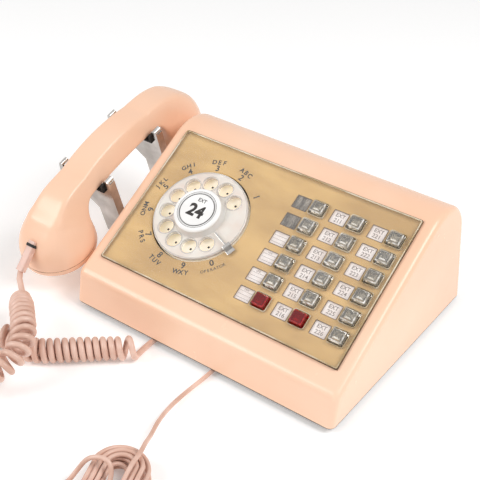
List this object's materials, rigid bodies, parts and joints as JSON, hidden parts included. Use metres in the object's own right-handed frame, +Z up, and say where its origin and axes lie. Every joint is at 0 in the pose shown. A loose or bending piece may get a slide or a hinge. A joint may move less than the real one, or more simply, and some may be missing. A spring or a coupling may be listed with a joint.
{
  "type": "multi-line desk telephone",
  "caption": "Wedge-shaped rotary desk telephone with columns of lamp-lit line keys, a handset lying on a side cradle, a curly handset cord and a line cord tied in a hank.",
  "frame": {"origin": "middle of the telephone's footprint, handset included and cords left out, on the desk", "axes": "+X to the right along the housing's front edge, +Y to the back, +Z up"},
  "size_m": [0.301, 0.4096, 0.1192],
  "materials": {
    "peach_shell": "moulded, satin gloss",
    "gold_sheet": "gold lacquer, faint mottling",
    "clear_cover": "clear, polished",
    "card_stock": "printed card",
    "ivory_plate": "moulded",
    "clear_wheel": "clear, polished",
    "white_cap": "moulded",
    "bright_chrome": "polished",
    "clear_key": "clear, faceted",
    "ruby_key": "clear red, faceted",
    "dark_tray": "moulded",
    "lamp_glass": "clear",
    "spring_brass": "rolled",
    "spring_steel": "rolled",
    "plated_steel": "zinc plated",
    "grey_base": "enamel",
    "black_rubber": "matt",
    "phenolic": "moulded",
    "coil_tape": "varnished winding",
    "gong_brass": "spun",
    "gear_brass": "cut",
    "capsule_metal": "pressed",
    "cord_vinyl": "extruded vinyl",
    "clip_vinyl": "translucent vinyl",
    "dial_steel": "enamel"
  },
  "bodies": {
    "base": {"housing": "peach_shell", "base_plate": "grey_base", "base_screws": "plated_steel", "rubber_feet": "black_rubber", "faceplate": "gold_sheet", "faceplate_cover": "clear_cover", "designation_cards": "card_stock", "dial_frame": "dial_steel", "dial_number_plate": "ivory_plate", "dial_mainspring": "spring_steel", "finger_stop": "bright_chrome", "key_tray": "dark_tray", "contact_leaves": "spring_brass", "key_lamps": "lamp_glass", "cradle_bracket": "plated_steel", "hook_switch": "phenolic", "network_block": "phenolic", "ringer_frame": "plated_steel", "ringer_coils": "coil_tape", "ringer_gongs": "gong_brass", "cord_bushings": "black_rubber", "handset_cord": "cord_vinyl", "line_cord": "cord_vinyl", "line_cord_hank": "cord_vinyl", "line_plug": "peach_shell"},
    "finger_wheel": {"finger_wheel": "clear_wheel", "dial_cap": "white_cap", "dial_shaft": "plated_steel", "dial_main_gear": "gear_brass"},
    "governor": {"governor": "gear_brass"},
    "line_key_a1": {"line_key_a1": "clear_key"},
    "line_key_a2": {"line_key_a2": "clear_key"},
    "line_key_a3": {"line_key_a3": "clear_key"},
    "line_key_a4": {"line_key_a4": "clear_key"},
    "line_key_a5": {"line_key_a5": "clear_key"},
    "hold_key_a6": {"hold_key_a6": "ruby_key"},
    "line_key_b1": {"line_key_b1": "clear_key"},
    "line_key_b2": {"line_key_b2": "clear_key"},
    "line_key_b3": {"line_key_b3": "clear_key"},
    "line_key_b4": {"line_key_b4": "clear_key"},
    "line_key_b5": {"line_key_b5": "clear_key"},
    "hold_key_b6": {"hold_key_b6": "ruby_key"},
    "line_key_c1": {"line_key_c1": "clear_key"},
    "line_key_c2": {"line_key_c2": "clear_key"},
    "line_key_c3": {"line_key_c3": "clear_key"},
    "line_key_c4": {"line_key_c4": "clear_key"},
    "line_key_c5": {"line_key_c5": "clear_key"},
    "line_key_c6": {"line_key_c6": "clear_key"},
    "handset": {"handset_body": "peach_shell", "earpiece_cap": "peach_shell", "mouthpiece_cap": "peach_shell", "receiver_capsule": "capsule_metal", "transmitter_capsule": "capsule_metal", "handset_cord_clip": "clip_vinyl"},
    "cradle": {"cradle_arm_front": "bright_chrome", "cradle_arm_rear": "bright_chrome", "cradle_shaft": "plated_steel", "cradle_pads": "black_rubber"},
    "clapper": {"ringer_clapper": "plated_steel"}
  },
  "joints": [
    {"name": "dial_turn", "type": "hinge", "parent": "base", "child": "finger_wheel", "pos_m": [-0.018, -0.01595, 0.07396], "axis": [0, -0.5225, 0.8526], "range_deg": [-330, 0], "stiffness_Nm_per_rad": 0.01, "springref_deg": 57.3, "deforming": ["dial_mainspring"]},
    {"name": "governor_spin", "type": "hinge", "parent": "base", "child": "governor", "pos_m": [0.01015, -0.01595, 0.07396], "axis": [0, -0.5225, 0.8526], "range_deg": [-60, 1440]},
    {"name": "press_line_key_a1", "type": "slide", "parent": "base", "child": "line_key_a1", "axis": [0, -0.5225, 0.8526], "range_m": [-0.004, 0], "stiffness_N_per_m": 200, "springref_m": 0.001, "deforming": ["contact_leaves"]},
    {"name": "press_line_key_a2", "type": "slide", "parent": "base", "child": "line_key_a2", "axis": [0, -0.5225, 0.8526], "range_m": [-0.004, 0], "stiffness_N_per_m": 200, "springref_m": 0.001, "deforming": ["contact_leaves"]},
    {"name": "press_line_key_a3", "type": "slide", "parent": "base", "child": "line_key_a3", "axis": [0, -0.5225, 0.8526], "range_m": [-0.004, 0], "stiffness_N_per_m": 200, "springref_m": 0.001, "deforming": ["contact_leaves"]},
    {"name": "press_line_key_a4", "type": "slide", "parent": "base", "child": "line_key_a4", "axis": [0, -0.5225, 0.8526], "range_m": [-0.004, 0], "stiffness_N_per_m": 200, "springref_m": 0.001, "deforming": ["contact_leaves"]},
    {"name": "press_line_key_a5", "type": "slide", "parent": "base", "child": "line_key_a5", "axis": [0, -0.5225, 0.8526], "range_m": [-0.004, 0], "stiffness_N_per_m": 200, "springref_m": 0.001, "deforming": ["contact_leaves"]},
    {"name": "press_hold_key_a6", "type": "slide", "parent": "base", "child": "hold_key_a6", "axis": [0, -0.5225, 0.8526], "range_m": [-0.004, 0], "stiffness_N_per_m": 200, "springref_m": 0.001, "deforming": ["contact_leaves"]},
    {"name": "press_line_key_b1", "type": "slide", "parent": "base", "child": "line_key_b1", "axis": [0, -0.5225, 0.8526], "range_m": [-0.004, 0], "stiffness_N_per_m": 200, "springref_m": 0.001, "deforming": ["contact_leaves"]},
    {"name": "press_line_key_b2", "type": "slide", "parent": "base", "child": "line_key_b2", "axis": [0, -0.5225, 0.8526], "range_m": [-0.004, 0], "stiffness_N_per_m": 200, "springref_m": 0.001, "deforming": ["contact_leaves"]},
    {"name": "press_line_key_b3", "type": "slide", "parent": "base", "child": "line_key_b3", "axis": [0, -0.5225, 0.8526], "range_m": [-0.004, 0], "stiffness_N_per_m": 200, "springref_m": 0.001, "deforming": ["contact_leaves"]},
    {"name": "press_line_key_b4", "type": "slide", "parent": "base", "child": "line_key_b4", "axis": [0, -0.5225, 0.8526], "range_m": [-0.004, 0], "stiffness_N_per_m": 200, "springref_m": 0.001, "deforming": ["contact_leaves"]},
    {"name": "press_line_key_b5", "type": "slide", "parent": "base", "child": "line_key_b5", "axis": [0, -0.5225, 0.8526], "range_m": [-0.004, 0], "stiffness_N_per_m": 200, "springref_m": 0.001, "deforming": ["contact_leaves"]},
    {"name": "press_hold_key_b6", "type": "slide", "parent": "base", "child": "hold_key_b6", "axis": [0, -0.5225, 0.8526], "range_m": [-0.004, 0], "stiffness_N_per_m": 200, "springref_m": 0.001, "deforming": ["contact_leaves"]},
    {"name": "press_line_key_c1", "type": "slide", "parent": "base", "child": "line_key_c1", "axis": [0, -0.5225, 0.8526], "range_m": [-0.004, 0], "stiffness_N_per_m": 200, "springref_m": 0.001, "deforming": ["contact_leaves"]},
    {"name": "press_line_key_c2", "type": "slide", "parent": "base", "child": "line_key_c2", "axis": [0, -0.5225, 0.8526], "range_m": [-0.004, 0], "stiffness_N_per_m": 200, "springref_m": 0.001, "deforming": ["contact_leaves"]},
    {"name": "press_line_key_c3", "type": "slide", "parent": "base", "child": "line_key_c3", "axis": [0, -0.5225, 0.8526], "range_m": [-0.004, 0], "stiffness_N_per_m": 200, "springref_m": 0.001, "deforming": ["contact_leaves"]},
    {"name": "press_line_key_c4", "type": "slide", "parent": "base", "child": "line_key_c4", "axis": [0, -0.5225, 0.8526], "range_m": [-0.004, 0], "stiffness_N_per_m": 200, "springref_m": 0.001, "deforming": ["contact_leaves"]},
    {"name": "press_line_key_c5", "type": "slide", "parent": "base", "child": "line_key_c5", "axis": [0, -0.5225, 0.8526], "range_m": [-0.004, 0], "stiffness_N_per_m": 200, "springref_m": 0.001, "deforming": ["contact_leaves"]},
    {"name": "press_line_key_c6", "type": "slide", "parent": "base", "child": "line_key_c6", "axis": [0, -0.5225, 0.8526], "range_m": [-0.004, 0], "stiffness_N_per_m": 200, "springref_m": 0.001, "deforming": ["contact_leaves"]},
    {"name": "handset_lift", "type": "slide", "parent": "base", "child": "handset", "axis": [0, -0.3256, 0.9455], "range_m": [0, 0.12], "deforming": ["handset_cord"]},
    {"name": "cradle_rise", "type": "hinge", "parent": "base", "child": "cradle", "pos_m": [-0.0735, 0.01029, 0.0415], "axis": [0, 0.9455, 0.3256], "range_deg": [0, 4]},
    {"name": "clapper_swing", "type": "hinge", "parent": "base", "child": "clapper", "pos_m": [0.089, 0.08238, 0.025], "axis": [0, 0, 1], "range_deg": [-3, 3], "stiffness_Nm_per_rad": 0.005}
  ],
  "couplings": [
    {"joint": "governor_spin", "follows": "dial_turn", "ratio": -4},
    {"joint": "cradle_rise", "follows": "handset_lift", "rad_per_m": 0.5817}
  ]
}
